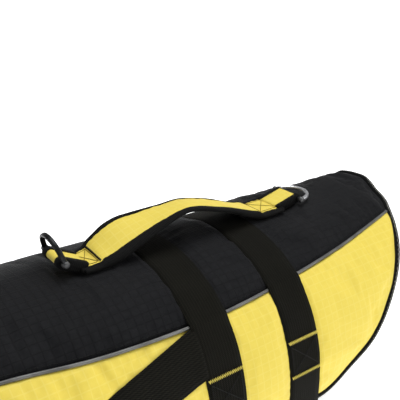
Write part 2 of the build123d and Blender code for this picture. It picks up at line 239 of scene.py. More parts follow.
def thread(name, lines, radius, finish):
    """Sewing thread along lists of points."""
    curve = bpy.data.curves.new(name, "CURVE")
    curve.dimensions, curve.bevel_depth, curve.bevel_resolution = "3D", radius * MM, 1
    curve.use_fill_caps = True
    for line in lines:
        spline = curve.splines.new("POLY")
        spline.points.add(len(line) - 1)
        for point, place in zip(spline.points, line):
            point.co = (*place, 1)
    holder = linked(name, curve)
    bpy.context.view_layer.update()
    mesh = bpy.data.meshes.new_from_object(holder)
    bpy.data.objects.remove(holder)
    return dressed(name, mesh, finish)


def strip(name, path, finish, width=WEB, thick=WEB_T, across=6):
    """Flat webbing along a path of (centre, outward normal, side direction)."""
    run = [0.0]
    for (a, _, _), (b, _, _) in zip(path, path[1:]):
        run.append(run[-1] + (b - a).length / MM)

    def place(i, j):
        centre, out, side = path[i]
        return centre + out * thick / 2 * MM + side * width * (j / across - 0.5) * MM
    return surface(name, len(path) - 1, across, place, finish,
                   lambda i, j: (run[i], width * j / across), thick)


def settle(piece, body, slot, *nodes):
    """Put a piece on its body; slot is not used. Nodes are the solids that it stands for, and are
    hidden.
    """
    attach(piece, body)
    if nodes:
        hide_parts(*nodes)
    return piece


# ============================================================
# Shader maths
# ============================================================
class Value:
    """A shader socket that Python's operators turn into Math nodes."""

    def __init__(self, finish, socket):
        self.finish, self.socket = finish, socket

    def maths(self, operation, *values):
        return self.finish.node("ShaderNodeMath", {"operation": operation}, dict(enumerate(values)))

    def __add__(self, other):
        return self.maths("ADD", self, other)

    def __sub__(self, other):
        return self.maths("SUBTRACT", self, other)

    def __rsub__(self, other):
        return self.maths("SUBTRACT", other, self)

    def __mul__(self, other):
        return self.maths("MULTIPLY", self, other)

    __radd__, __rmul__ = __add__, __mul__

    def fold(self, span):
        """Distance to the nearest multiple of span."""
        return self.maths("PINGPONG", self, span / 2)

    def wave(self, span):
        """Sine from -1 to 1, one wave in each span."""
        return self.maths("SINE", self * (2 * pi / span))

    def ramp(self, low, high):
        """Smooth step from 0 at low to 1 at high."""
        return self.finish.node("ShaderNodeMapRange", {"interpolation_type": "SMOOTHSTEP"},
                                {0: self, 1: low, 2: high, 3: 0.0, 4: 1.0})


class Finish:
    """One material: uniform values on the shader's own sockets, patterns through nodes."""

    def __init__(self, name, **uniform):
        self.material = bpy.data.materials.new(name)
        self.material.use_nodes = True
        self.tree = self.material.node_tree
        self.shader = self.tree.nodes["Principled BSDF"]
        for key, value in uniform.items():
            self.shader.inputs[key.replace("_", " ").title().replace("Ior", "IOR")].default_value = value

    def node(self, kind, settings=None, inputs=None, output=0):
        node = self.tree.nodes.new(kind)
        for key, value in (settings or {}).items():
            setattr(node, key, value)
        for key, value in (inputs or {}).items():
            self.feed(node.inputs[key], value)
        return Value(self, node.outputs[output])

    def feed(self, socket, value):
        if isinstance(value, Value):
            self.tree.links.new(value.socket, socket)
        else:
            socket.default_value = value

    def set(self, name, value):
        self.feed(self.shader.inputs[name], value)

    def flat(self):
        """The two flat coordinates of a piece, in metres."""
        uv = self.node("ShaderNodeUVMap", {"uv_map": "flat"})
        parts = self.node("ShaderNodeSeparateXYZ", None, {0: uv})
        return parts, Value(self, parts.socket.node.outputs[1])

    def place(self):
        return self.node("ShaderNodeTexCoord", None, None, "Object")

    def noise(self, size, detail):
        """Noise from 0 to 1 with grains of size metres."""
        return self.node("ShaderNodeTexNoise", None,
                         {"Vector": self.place(), "Scale": 1 / size, "Detail": detail}, "Fac")

    def mix(self, factor, first, second):
        return self.node("ShaderNodeMix", {"data_type": "RGBA"}, {0: factor, 6: first, 7: second}, 2)

    def bump(self, height, distance, strength):
        normal = self.node("ShaderNodeBump", None,
                           {"Height": height, "Distance": distance, "Strength": strength})
        self.set("Normal", normal)


def rgb(red, green, blue):
    return (red, green, blue, 1.0)


def ripstop(name, base, line, faded, roughness, sheen, gloss, depth, grid=0.008):
    """Coated ripstop: a fine plain weave crossed by a square grid of thicker threads."""
    f = Finish(name, sheen_weight=sheen, sheen_roughness=0.45, specular_ior_level=gloss)
    along, round_ = f.flat()
    grid_line = f.node("ShaderNodeMath", {"operation": "MAXIMUM"},
                       {0: 1 - along.fold(grid).ramp(0.0003, 0.0008),
                        1: 1 - round_.fold(grid).ramp(0.0003, 0.0008)})
    patches = f.noise(0.07, 4.0)
    dust = f.noise(0.004, 2.0)
    colour = f.mix((patches * 0.6 + dust * 0.5).ramp(0.35, 0.8), base, faded)
    colour = f.mix(grid_line * (0.2 + 0.65 * dust), colour, line)
    weave = along.wave(0.0008) * round_.wave(0.0008)
    f.set("Base Color", colour)
    f.set("Roughness", roughness + 0.12 * patches - 0.06 * grid_line)
    creases = f.noise(0.018, 4.0)
    f.bump(grid_line * 0.4 + weave * 0.12 + creases * 2.2, 0.00035 * depth, 0.8)
    return f.material


def webbing(name, base, light, rib=0.0028, twill=0.0022):
    """Woven tape: ribs along the length, crossed by a fine slanting weave."""
    f = Finish(name, sheen_weight=0.01, sheen_roughness=0.4, specular_ior_level=0.06)
    along, across = f.flat()
    ribs = across.wave(rib) * 0.5 + 0.5
    slant = (along + across * 1.4).wave(twill) * 0.5 + 0.5
    worn = f.noise(0.03, 4.0)
    f.set("Base Color", f.mix(ribs * 0.3 + slant * 0.55 + worn * 0.35 - 0.28, base, light))
    f.set("Roughness", 0.62 + 0.14 * worn + 0.08 * slant)
    f.bump(ribs * 0.6 + slant * 0.7 + worn * 0.3, 0.0004, 0.8)
    return f.material


def tape(name, base, light):
    """Narrow folded binding tape with a close cross weave."""
    f = Finish(name, sheen_weight=0.01, sheen_roughness=0.4, specular_ior_level=0.08)
    along, across = f.flat()
    cords = along.wave(0.0012) * 0.5 + 0.5
    worn = f.noise(0.012, 4.0)
    f.set("Base Color", f.mix(cords * 0.4 + worn * 0.5 - 0.2, base, light))
    f.set("Roughness", 0.6 + 0.2 * worn)
    f.bump(cords + across.wave(0.0016) * 0.3 + worn, 0.0003, 0.7)
    return f.material


def reflective(name):
    """Silver reflective piping: glass beads on grey cloth."""
    f = Finish(name, specular_ior_level=0.6)
    beads = f.noise(0.0009, 2.0)
    worn = f.noise(0.02, 4.0)
    f.set("Base Color", f.mix(worn.ramp(0.3, 0.7), rgb(0.09, 0.09, 0.087), rgb(0.17, 0.17, 0.165)))
    f.set("Metallic", 0.35 + 0.2 * beads)
    f.set("Roughness", 0.38 + 0.2 * beads)
    f.bump(beads, 0.00015, 0.6)
    return f.material


def plated(name, base, tarnish, roughness):
    """Plated steel wire with light scratches and dull spots."""
    f = Finish(name, specular_ior_level=0.6)
    spots, scratch = f.noise(0.006, 5.0), f.noise(0.0012, 3.0)
    f.set("Base Color", f.mix(spots.ramp(0.45, 0.75), base, tarnish))
    f.set("Metallic", 1.0 - 0.12 * spots)
    f.set("Roughness", roughness + 0.18 * spots + 0.05 * scratch)
    f.bump(scratch, 0.00006, 0.5)
    return f.material


def moulded(name, base, light, roughness):
    """Moulded plastic with a fine spark texture and rubbed corners."""
    f = Finish(name, specular_ior_level=0.45)
    grain, rubbed = f.noise(0.0007, 2.0), f.noise(0.01, 4.0)
    f.set("Base Color", f.mix(rubbed.ramp(0.4, 0.8), base, light))
    f.set("Roughness", roughness + 0.12 * rubbed + 0.08 * grain)
    f.bump(grain + rubbed * 0.5, 0.00012, 0.6)
    return f.material


def sewing(name, base, dark):
    f = Finish(name, sheen_weight=0.03, sheen_roughness=0.3, specular_ior_level=0.15)
    twist = f.noise(0.0008, 2.0)
    f.set("Base Color", f.mix(twist.ramp(0.3, 0.7), base, dark))
    f.set("Roughness", 0.55 + 0.2 * twist)
    f.bump(twist, 0.0002, 0.7)
    return f.material


def foam_finish(name):
    f = Finish(name)
    cells = f.node("ShaderNodeTexVoronoi", None, {"Vector": f.place(), "Scale": 700.0}, "Distance")
    f.set("Base Color", f.mix(cells.ramp(0.1, 0.7), rgb(0.55, 0.55, 0.52), rgb(0.75, 0.75, 0.72)))
    f.set("Roughness", 0.7 + 0.2 * cells)
    f.bump(cells, 0.0003, 0.6)
    return f.material


YELLOW = ripstop("yellow ripstop", rgb(0.81, 0.64, 0.092), rgb(0.85, 0.7, 0.145),
                 rgb(0.84, 0.67, 0.108), roughness=0.6, sheen=0.03, gloss=0.3, depth=0.35)
BLACK = ripstop("black ripstop", rgb(0.0056, 0.0059, 0.007), rgb(0.0018, 0.0018, 0.0023),
                rgb(0.0112, 0.0114, 0.0128), roughness=0.5, sheen=0.045, gloss=0.08, depth=1.5)
LINING = ripstop("black lining", rgb(0.012, 0.012, 0.014), rgb(0.02, 0.02, 0.023),
                 rgb(0.016, 0.016, 0.018), roughness=0.62, sheen=0.05, gloss=0.2, depth=1.0, grid=0.003)
WEBBING = webbing("black webbing", rgb(0.002, 0.002, 0.0014), rgb(0.02, 0.019, 0.014))
TAPE = tape("binding tape", rgb(0.004, 0.004, 0.004), rgb(0.014, 0.014, 0.0135))
PIPE = reflective("reflective piping")
RING = plated("ring plating", rgb(0.78, 0.79, 0.81), rgb(0.5, 0.5, 0.52), 0.22)
# Near-black copy of the ring plating for the front ring: painted dark reflection of the black fabric
# round it
DARK_REFLECTION_RING = plated("ring plating painted dark reflection", rgb(0.02, 0.021, 0.022), rgb(0.06, 0.06, 0.062), 0.3)
# Dark grey copy of the ring plating for both rings' bars: painted dark reflection
ROD = plated("ring bar plating painted dark reflection", rgb(0.13, 0.132, 0.135), rgb(0.05, 0.05, 0.052), 0.4)
ACETAL = moulded("black acetal", rgb(0.012, 0.012, 0.013), rgb(0.024, 0.024, 0.025), 0.38)
YELLOW_THREAD = sewing("yellow thread", rgb(0.88, 0.74, 0.15), rgb(0.55, 0.44, 0.08))
# Darker copy of the yellow thread for the handle's box stitches: painted shade
SHADED_YELLOW_THREAD = sewing("shaded yellow thread", rgb(0.30, 0.21, 0.03), rgb(0.20, 0.14, 0.02))
GREY_THREAD = sewing("pale thread", rgb(0.62, 0.61, 0.55), rgb(0.3, 0.3, 0.27))
DARK_THREAD = sewing("black thread", rgb(0.004, 0.004, 0.004), rgb(0.012, 0.012, 0.012))
FOAM = foam_finish("foam")
ELASTIC = tape("woven elastic", rgb(0.01, 0.01, 0.01), rgb(0.03, 0.03, 0.03))


# ============================================================
# Edge of the vest, as (x, s) points
# ============================================================
def left_edge():
    """Free edge of one half, from the ridge at the rear round to the ridge at the neck."""
    points = [(rear_edge(s), s) for s in range(0, 64, 3)]
    points += [(x, low_edge(x)) for x in range(237, -281, -3)]
    points += [(front_edge(s), s) for s in range(186, 88, -4)]
    points += [(neck_edge(s), s) for s in range(86, -1, -4)]
    return points


half = left_edge()
outline = [(x, -s) for x, s in half] + [(x, s) for x, s in half[-2:0:-1]]
near_edge = kdtree.KDTree(len(outline))
for k, (x, s) in enumerate(outline):
    near_edge.insert((x, s, 0), k)
near_edge.balance()


def edge_distance(x, s):
    return near_edge.find((x, s, 0))[2]


def seam_distance(x, s):
    return abs(abs(s) - seam(x))


def handle_patch(x, s, margin):
    """1 under the handle's sewn patches and margin millimetres round them, easing to 0."""
    along = max(ease((half_length + margin - abs(x - middle)) / 8) for middle, half_length in PATCHES)
    return ease((26 + margin - abs(s)) / 6) * along


def strap_press(x, s):
    """How far the pads are pressed in under the webbing, from 0 to 1."""
    press = 0.0
    for centre in (-STRAP_X, STRAP_X):
        press = max(press, ease((WEB / 2 + 3 - abs(x - centre)) / 7))
    if x < CHEST_START and chest_upper(x) - 3 < abs(s) < chest_lower(x) + 3:
        inside = min(abs(s) - chest_upper(x), chest_lower(x) - abs(s))
        press = max(press, ease((inside + 3) / 7))
    return press


# Each fold: x, s, its run along x and s, depth, width
CREASES = ((-155, 106, 8, 24, 3.2, 3.6), (-266, 92, 12, 14, 2.8, 4.0), (-236, 97, -7, 24, 2.0, 3.5),
           (-112, 108, -22, 16, 2.6, 4.0), (-190, 102, 6, 20, 1.6, 3.5), (214, 100, -14, 40, 1.0, 5.0),
           (96, 112, 4, 60, 0.8, 5.0), (150, 168, -22, 22, 1.2, 5.0), (-12, 130, 5, 60, 0.8, 6.0))


def creased(x, s):
    """Depth of the soft folds pulled into the cloth."""
    total = 0.0
    for x0, s0, dx, ds, depth, width in CREASES:
        length = hypot(dx, ds)
        along = ((x - x0) * dx + (s - s0) * ds) / length ** 2
        off = ((x - x0) * ds - (s - s0) * dx) / length
        if -0.2 < along < 1.2:
            total += depth * ease((along + 0.2) / 0.4) * ease((1.2 - along) / 0.5) * bell(off, width)
    return total


def loft(x, s):
    """Height of the pads over the section: pinched at seams and edges, pressed under webbing."""
    to_seam = seam_distance(x, s)
    height = min(-2.6 + 3.6 * (1 - fade(edge_distance(x, s), 8)), -1.9 + 2.9 * (1 - fade(to_seam, 7)))
    height += 0.8 * fade(to_seam, 12) * ripple(x, s * 0.2, 8, 3.0)
    height += 0.9 * ripple(x, s * 0.8, 60) + 0.35 * ripple(x, s * 0.6, 22, 7.0)
    if x < CHEST_START:
        beside = max(chest_upper(x) - abs(s), abs(s) - chest_lower(x), 0)
        height -= 1.5 * fade(beside, 7)
    press = max(strap_press(x, s), 0.7 * handle_patch(x, s, 0))
    return height * (1 - press) - 0.9 * press


def thickness(x, s):
    """Thickness of the pads, rounded off towards the edge."""
    return 14.0 * (1 - max(0, 1 - edge_distance(x, s) / 16) ** 2) ** 0.5


def pad(name, columns, rows, where, finish):
    """Closed pad: an outer and an inner face over where(a, b), with a and b from 0 to 1."""
    half_rows = rows + 1

    def spot(i, j):
        j %= 2 * half_rows
        inner = j >= half_rows
        b = 1 - (j - half_rows) / rows if inner else j / rows
        return (*where(i / columns, b), inner)

    def place(i, j):
        x, s, inner = spot(i, j)
        top = loft(x, s)
        if i in (0, columns):
            return skin(x, s, top - 1.0)
        return skin(x, s, top - 1.0 - thickness(x, s) if inner else top)

    def flat(i, j):
        x, s, inner = spot(i, j)
        return x, s
    piece = surface(name, columns, 2 * half_rows, place, [finish, LINING], flat)
    for polygon in piece.data.polygons:
        centre = polygon.center / MM
        lean = Vector((0, centre.y, centre.z)).normalized()
        polygon.material_index = 0 if polygon.normal.dot(lean) > 0.35 else 1
    return piece


def back_spot(a, b):
    """(x, s) on the back pad: a from neck to rear, b from the left seam to the right one."""
    t = 2 * b - 1
    start, end = (1 - a) * neck_edge(t * SEAM_ENDS[0]), a * rear_edge(abs(t) * SEAM_ENDS[1])
    beside = (1 - a) * neck_edge(SEAM_ENDS[0]) + a * rear_edge(SEAM_ENDS[1])
    return start + end, t * seam(beside)


def flank_spot(side):
    """(x, s) on a flank pad: a from front to rear, b from the seam down to the low edge."""
    def where(a, b):
        x = NECK_SIDE + a * (FLANK_REAR - NECK_SIDE)
        s = seam(x) + b * (low_edge(x) - seam(x))
        x += (front_edge(s) - NECK_SIDE) * (1 - a) ** 8
        return x, side * s
    return where


def held(x, s):
    """Sewn edges, seams and the places under webbing stay where they are."""
    return max(ease((11 - edge_distance(x, s)) / 6), ease((8 - seam_distance(x, s)) / 5),
               min(1, 1.4 * strap_press(x, s)), handle_patch(x, s, 4))


def swell(piece):
    """Run the cloth under air pressure, pinned where held(x, s) is 1, and keep the shape it takes."""
    mesh = piece.data
    start = [v.co.copy() for v in mesh.vertices]
    flat = mesh.uv_layers["flat"].data
    pins = piece.vertex_groups.new(name="held")
    for polygon in mesh.polygons:
        for corner, vertex in zip(polygon.loop_indices, polygon.vertices):
            inside = polygon.material_index == 1
            pins.add([vertex], 1.0 if inside else held(*(flat[corner].uv / MM)), "REPLACE")
    cloth = piece.modifiers.new("air", "CLOTH")
    rules = cloth.settings
    rules.quality, rules.mass, rules.vertex_group_mass = 6, 0.2, "held"
    rules.use_pressure, rules.uniform_pressure_force = True, AIR_PRESSURE
    rules.tension_stiffness = rules.compression_stiffness = 20
    rules.shear_stiffness, rules.bending_stiffness = 8, 0.2
    rules.shrink_min = -CLOTH_SLACK
    rules.effector_weights.gravity = 0
    cloth.collision_settings.use_collision = False
    for number in range(1, CLOTH_FRAMES + 1):
        bpy.context.scene.frame_set(number)
    shaped = piece.evaluated_get(bpy.context.evaluated_depsgraph_get()).to_mesh()
    ends = [v.co.copy() for v in shaped.vertices]
    piece.modifiers.remove(cloth)
    piece.vertex_groups.remove(pins)
    for vertex, begin, end in zip(mesh.vertices, start, ends):
        move = end - begin
        vertex.co = begin + move * min(1, SWELL_CAP * MM / max(move.length, 1e-9))
    bpy.context.scene.frame_set(1)


def fold_in(piece):
    """Move the outer face of a pad in along its creases."""
    flat, moved = piece.data.uv_layers["flat"].data, set()
    for polygon in piece.data.polygons:
        for corner, vertex in zip(polygon.loop_indices, polygon.vertices):
            if polygon.material_index == 0 and vertex not in moved:
                x, s = flat[corner].uv / MM
                piece.data.vertices[vertex].co -= lift(s) * creased(x, abs(s)) * MM
                moved.add(vertex)


def inflate(piece):
    swell(piece)
    fold_in(piece)
    finer = piece.modifiers.new("finer", "SUBSURF")
    finer.levels = finer.render_levels = 1


back_pad = pad("back_pad", 150, 56, back_spot, BLACK)
inflate(back_pad)
settle(back_pad, "vest", "black_ripstop", "back_panel", "back_foam", "back_lining")
for side, name in ((-1, "left"), (1, "right")):
    flank_pad = pad(name + "_flank_pad", 150, 44, flank_spot(side), YELLOW)
    inflate(flank_pad)
    settle(flank_pad, "vest", "yellow_ripstop", name + "_flank_panel", name + "_flank_foam",
           name + "_flank_lining")


# ============================================================
# Piping and edge binding
# ============================================================
def rope(name, points, normals, loop, finish, closed=False):
    """Cross-section loop, a list of (sideways, outward) points, carried along a line."""
    n, m, run = len(points), len(loop), [0.0]
    for a, b in zip(points, points[1:] + points[:1]):
        run.append(run[-1] + (b - a).length / MM)

    def place(i, j):
        k = i % n
        ahead = points[(k + 1) % n] if closed or k < n - 1 else points[k]
        behind = points[k - 1] if closed or k > 0 else points[k]
        sideways = normals[k].cross(ahead - behind).normalized()
        b, c = loop[j % m]
        return points[k] + sideways * b * MM + normals[k] * c * MM
    steps = n if closed else n - 1
    return surface(name, steps, m, place, finish, lambda i, j: (run[i], 3.0 * j))


def oval(wide, high, count):
    """Oval cross-section with half width wide and half height high."""
    turns = [2 * pi * k / count for k in range(count)]
    return [(wide * cos(a), high * sin(a)) for a in turns]


STITCH_IN = 4.6  # from the piping to the top stitch beside it
for side, name in ((-1, "left"), (1, "right")):
    spots = [(x, side * seam(x)) for x in range(-277, 238, 4)]
    line = [skin(x, s, -0.6 + 0.25 * ripple(x, 0, 12, 5.0) - 0.5 * strap_press(x, s))
            for x, s in spots]
    piping = rope(name + "_piping_cord", line, [lift(s) for x, s in spots], oval(1.6, 1.6, 10), PIPE)
    settle(piping, "vest", "reflective_piping", name + "_piping")
    stitches = []

    def stitch_line(x):
        return side * (seam(x) - STITCH_IN)
    for k in range(-272, 232, 5):
        if max(strap_press(k, stitch_line(k)), strap_press(k + 3, stitch_line(k + 3))) < 0.1:
            stitches.append([skin(x, stitch_line(x), loft(x, stitch_line(x)) + 0.12)
                             for x in (k, k + 1.5, k + 3.2)])
    top_stitch = thread(name + "_seam_stitch", stitches, 0.32, DARK_THREAD)
    settle(top_stitch, "vest", "black_webbing")

edge_line = [skin(x, s, -2.4) for x, s in outline]
edge_lift = [lift(s) for x, s in outline]
# Folded tape, its closed side at 1.4 inwards of the edge line and its open side outwards
FOLD = [(4.9, 1.3), (3.2, 2.0), (1.2, 2.1), (-0.5, 1.3), (-1.4, -0.6), (-1.5, -4.0), (-0.8, -6.4),
        (1.2, -7.9), (4.9, -8.8), (5.0, -7.9), (1.8, -6.8), (0.2, -5.4), (-0.1, -4.0), (0.0, -1.4),
        (0.6, -0.2), (2.0, 0.5), (5.0, 0.4)]
binding = rope("edge_binding", edge_line, edge_lift, FOLD, TAPE, closed=True)
settle(binding, "vest", "black_binding", "rear_binding", "neck_binding", "left_flank_binding",
       "right_flank_binding")

zigzag = []
for i, point in enumerate(edge_line):
    ahead, behind = edge_line[(i + 1) % len(outline)], edge_line[i - 1]
    outwards = edge_lift[i].cross(ahead - behind).normalized()
    zigzag.append(point + (outwards * 3.1 + edge_lift[i] * 2.1) * MM)
    zigzag.append((point + ahead) / 2 + (outwards * 1.5 + edge_lift[i] * 2.15) * MM)
settle(thread("binding_stitch", [zigzag + zigzag[:1]], 0.24, GREY_THREAD), "vest", "black_binding")


# ============================================================
# Girth straps, chest straps and their buckles
# ============================================================
def belt_half(reach, bar, top, out=0.0, start=None):
    """Right half of a belt as (u, h, nu, nh): round the bar, along, round the corner and up."""
    points, middle = [], BELT_R + out + WEB_T / 2
    if start is None:
        wrap = LOOP_R - WEB_T / 2
        for k in range(-16, 10):
            turn = radians(10 * k)
            points.append((bar - wrap * cos(turn), -reach - LOOP_R + wrap * sin(turn),
                           cos(turn), -sin(turn)))
        start = bar
    flat_end = BELT_W - BELT_R
    if start < flat_end:
        steps = max(2, int((flat_end - start) / 4))
        points += [(start + (flat_end - start) * k / steps, -reach - out - WEB_T / 2, 0, -1)
                   for k in range(steps)]
    first = 0.0 if start < flat_end else (start - flat_end) / (BELT_R + out)
    corner = -reach + BELT_R
    for k in range(37):
        turn = first + (pi / 2 - first) * k / 36
        points.append((flat_end + middle * sin(turn), corner - middle * cos(turn),
                       sin(turn), -cos(turn)))
    steps = max(1, int((top - corner) / 4))
    points += [(BELT_W + out + WEB_T / 2, corner + (top - corner) * k / steps, 1, 0)
               for k in range(1, steps + 1)]
    return points


def laid(points, to_world, side):
    """Belt points as world frames; side -1 is the dog's left."""
    origin = to_world(0, 0, 0)
    across = (to_world(0, 0, 1) - origin).normalized()
    path = []
    for u, h, nu, nh in points:
        normal = (to_world(side * nu, nh, 0) - origin).normalized()
        path.append((to_world(side * u, h, 0), normal, across))
    return path


def girth_world(x):
    """Belt coordinates (u, h, v) of a girth strap in the world, v across the webbing."""
    return lambda u, h, v: Vector((x + v, u, h)) * MM


LEAVE_Z = (on_section(162)[1] + on_section(205)[1]) / 2


def chest_world(u, h, v):
    """Belt coordinates (u, h, v) of the chest strap in the world."""
    return Vector((LEAVE_X + cos(TILT) * h + sin(TILT) * v, u,
                   LEAVE_Z + sin(TILT) * h - cos(TILT) * v)) * MM


BAR_MARGIN = 4  # from a bar stitch to the strap's parts on either side of it


def over_back(x):
    """Frames of a girth strap over the back, from left bar stitch to right."""
    path, reach = [], BAR_S[1] + BAR_MARGIN
    for k in range(97):
        s = -reach + 2 * reach * k / 96
        y, z, ny, nz = on_section(s)
        hump = 1.5 * bell(abs(s) - seam(x), 4)
        wave = 0.25 * ripple(s, x, 25, 9.0)
        path.append((skin(x, s, hump + wave), Vector((0, ny, nz)), Vector((1, 0, 0))))
    return path


def shifted(path, by):
    """The strip builder lays webbing on a line, so centre-line frames drop by half a thickness."""
    return [(centre + normal * by * MM, normal, side) for centre, normal, side in path]


FREE_TOP = on_section(BAR_S[1] + BAR_MARGIN)[1] - 14
LOW_S, HIGH_S = BAR_S[0] + BAR_MARGIN, BAR_S[1] - BAR_MARGIN
BOX_HALF, BOX_STEPS = 16, 12
for name, x in (("front", -STRAP_X), ("rear", STRAP_X)):
    world = girth_world(x)
    left = shifted(laid(belt_half(BELLY, -BAR_U, FREE_TOP), world, -1), -WEB_T / 2)
    right = shifted(laid(belt_half(BELLY, 0, FREE_TOP, start=118), world, 1), -WEB_T / 2)
    girth = strip(name + "_girth_strap", left + over_back(x) + right[::-1], WEBBING)
    settle(girth, "vest", "black_webbing", name + "_strap_left", name + "_strap_back",
           name + "_strap_right")
    lines = []
    for s in BAR_S:
        for side in (-1, 1):
            lines.append([skin(x + (k - 20) * 0.92, side * (s + (1.3 if k % 2 else -1.3)), WEB_T + 0.3)
                          for k in range(41)])
    bars = thread(name + "_bar_thread", lines, 0.55, YELLOW_THREAD)
    settle(bars, "vest", "yellow_thread", name + "_bar_stitches")
    box_lines = []
    for side in (-1, 1):
        for a in (-1, 1):
            box_lines.append([skin(x + BOX_HALF * a, side * s, WEB_T + 0.05)
                              for s in range(int(LOW_S), int(HIGH_S), 2)])
        for a in (-1, 1):
            box_lines.append([skin(x + BOX_HALF * a * (2 * t / BOX_STEPS - 1),
                                   side * (LOW_S + (HIGH_S - LOW_S) * t / BOX_STEPS), WEB_T + 0.05)
                              for t in range(BOX_STEPS + 1)])
    settle(thread(name + "_box_thread", box_lines, 0.35, DARK_THREAD), "vest", "black_webbing")


FLANK_COLUMNS, FLANK_ROWS = 90, 8


def flank_web_place(side):
    """Chest webbing on the flank, easing into the free belt in front of the vest."""
    def on_flank(x, b):
        s = chest_upper(x) + b * (chest_lower(x) - chest_upper(x))
        return skin(x, side * s, 0.3 + 1.0 * ease((x + 78) / 12))

    def place(i, j):
        x = CHEST_START - CHEST_RUN * i / FLANK_COLUMNS
        b = j / FLANK_ROWS
        along = (x - LEAVE_X) / cos(TILT) + (b - 0.5) * WEB * -tan(TILT)
        free = chest_world(side * (BELT_W + 0.1), along, (b - 0.5) * WEB)
        return on_flank(x, b).lerp(free, ease((-222 - x) / 50))
    return place


for side, name in ((-1, "left"), (1, "right")):
    flank_web = surface("chest_flank_web_" + name, FLANK_COLUMNS, FLANK_ROWS, flank_web_place(side),
                        WEBBING, lambda i, j: (CHEST_RUN * i / FLANK_COLUMNS, WEB * j / FLANK_ROWS),
                        WEB_T)
    settle(flank_web, "vest", "black_webbing", "chest_strap_" + name)
left = shifted(laid(belt_half(CHEST_REACH, -BAR_U, -34), chest_world, -1), -WEB_T / 2)
settle(strip("chest_front_web", left, WEBBING), "vest", "black_webbing")


def repaint(node, finish):
    """Give a solid that stays visible its finish."""
    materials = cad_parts[node].data.materials
    materials.clear()
    materials.append(finish)


for name, world, reach in (("front", girth_world(-STRAP_X), BELLY),
                           ("rear", girth_world(STRAP_X), BELLY),
                           ("chest", chest_world, CHEST_REACH)):
    plug, corner = name + "_buckle_plug", -reach + BELT_R
    bend = {"start": world(BELT_W, corner + 4, 0), "end": world(PLUG_BAR_U + 10, -reach, 0)}
    fold_path = laid(belt_half(reach, PLUG_BAR_U, corner + 18), world, 1)
    fold = strip(name + "_plug_strap", shifted(fold_path, -WEB_T / 2), WEBBING)
    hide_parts(name + "_plug_webbing")
    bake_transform(fold)
    tail_half = belt_half(reach, 0, corner + 20, out=WEB_T + 0.3, start=PLUG_BAR_U + 5)
    tail_path = laid(tail_half, world, 1)
    tail = strip(name + "_strap_tail", shifted(tail_path, -WEB_T / 2), WEBBING, width=WEB - 0.6)
    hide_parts(name + "_tail")
    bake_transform(tail)
    for node, finish in ((name + "_buckle_housing", ACETAL), (plug, ACETAL),
                         (name + "_keeper", ELASTIC)):
        repaint(node, finish)
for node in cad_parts:
    if node.endswith("_arm"):
        repaint(node, ACETAL)


# ============================================================
# Grab handle
# ============================================================
def handle_point(x, y, up):
    """Point over the handle's underside, square to its run; the handle is a little twisted."""
    lean = atan2(under(x + 1) - under(x - 1), 2)
    up += slim(x) * max(0, 1 - up / HANDLE_T)
    rise = under(x) + up * cos(lean) + twist(x) * (y / (2 * COVER_HALF) + 0.5)
    return Vector((x - up * sin(lean), y, HALF + rise)) * MM


runs = [FRONT_END + (REAR_END - FRONT_END) * k / HANDLE_STEPS for k in range(HANDLE_STEPS + 1)]


def cover_height(y):
    """Crown of the padded top, across its width."""
    return HANDLE_T + (1 - (y / COVER_HALF) ** 2) ** 0.5 if abs(y) < COVER_HALF else HANDLE_T


def quilt(x):
    """Lower where the box stitches hold the patches down."""
    return 1 - 0.35 * max(ease((-100 - x) / 10), ease((x - 78) / 10))


def cover_place(i, j):
    """Yellow cover with a puckered edge and two slanting folds across it."""
    x = runs[i]
    y = COVER_HALF * (2 * j / COVER_ROWS - 1) * 1.03
    pucker = 0.35 * ripple(x, y * 0.4, 6, 2.0) * abs(y) / COVER_HALF
    pucker -= 0.9 * bell(x - 34 - 0.3 * y, 4) + 0.6 * bell(x + 46 + 0.2 * y, 5)
    return handle_point(x, y, cover_height(min(max(y, -15.9), 15.9)) * quilt(x) + pucker)


def handle_loop(profile, squeeze=1.0, side=1):
    """place(i, j) that carries a (y, height) loop along the handle."""
    def place(i, j):
        y, up = profile[j % len(profile)]
        return handle_point(runs[i], side * y, up * squeeze * quilt(runs[i]))
    return place


COVER_ROWS = 16
cover = surface("handle_top", HANDLE_STEPS, COVER_ROWS, cover_place, YELLOW,
                lambda i, j: (runs[i], 2 * j), 1.0)
settle(cover, "vest", "yellow_ripstop", "handle_cover")

FILL = [(-15, 2), (-15.5, 5.0), (-8, 7.2), (0, 7.7), (8, 7.2), (15.5, 5.0), (15, 2), (0, 1.8)]
core = surface("handle_padding", HANDLE_STEPS, len(FILL), handle_loop(FILL, 0.92), FOAM,
               lambda i, j: (runs[i], 4 * j))
settle(core, "vest", "closed_cell_foam", "handle_core")

base = surface("handle_underside", HANDLE_STEPS, 6,
               lambda i, j: handle_point(runs[i], 18 * (j / 3 - 1), 1.6), WEBBING,
               lambda i, j: (runs[i], 6 * j), 1.5)
settle(base, "vest", "black_webbing", "handle_webbing")

EDGE = [(14.8, 8.3), (17.5, 8.6), (20.2, 8.0), (21.8, 6.4), (22.2, 4.2), (21.8, 2.0), (20.2, 0.5),
        (17.5, 0.0), (14.6, 0.2), (14.6, 1.2), (17.5, 1.1), (20.4, 3.0), (20.8, 4.4), (20.2, 6.2),
        (17.4, 7.4), (14.9, 7.4)]
for side, name in ((-1, "left"), (1, "right")):
    edge = surface("handle_edge_" + name, HANDLE_STEPS, len(EDGE), handle_loop(EDGE, 0.95, side), TAPE,
                   lambda i, j: (runs[i], 2.0 * j))
    settle(edge, "vest", "black_binding")
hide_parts("handle_binding")


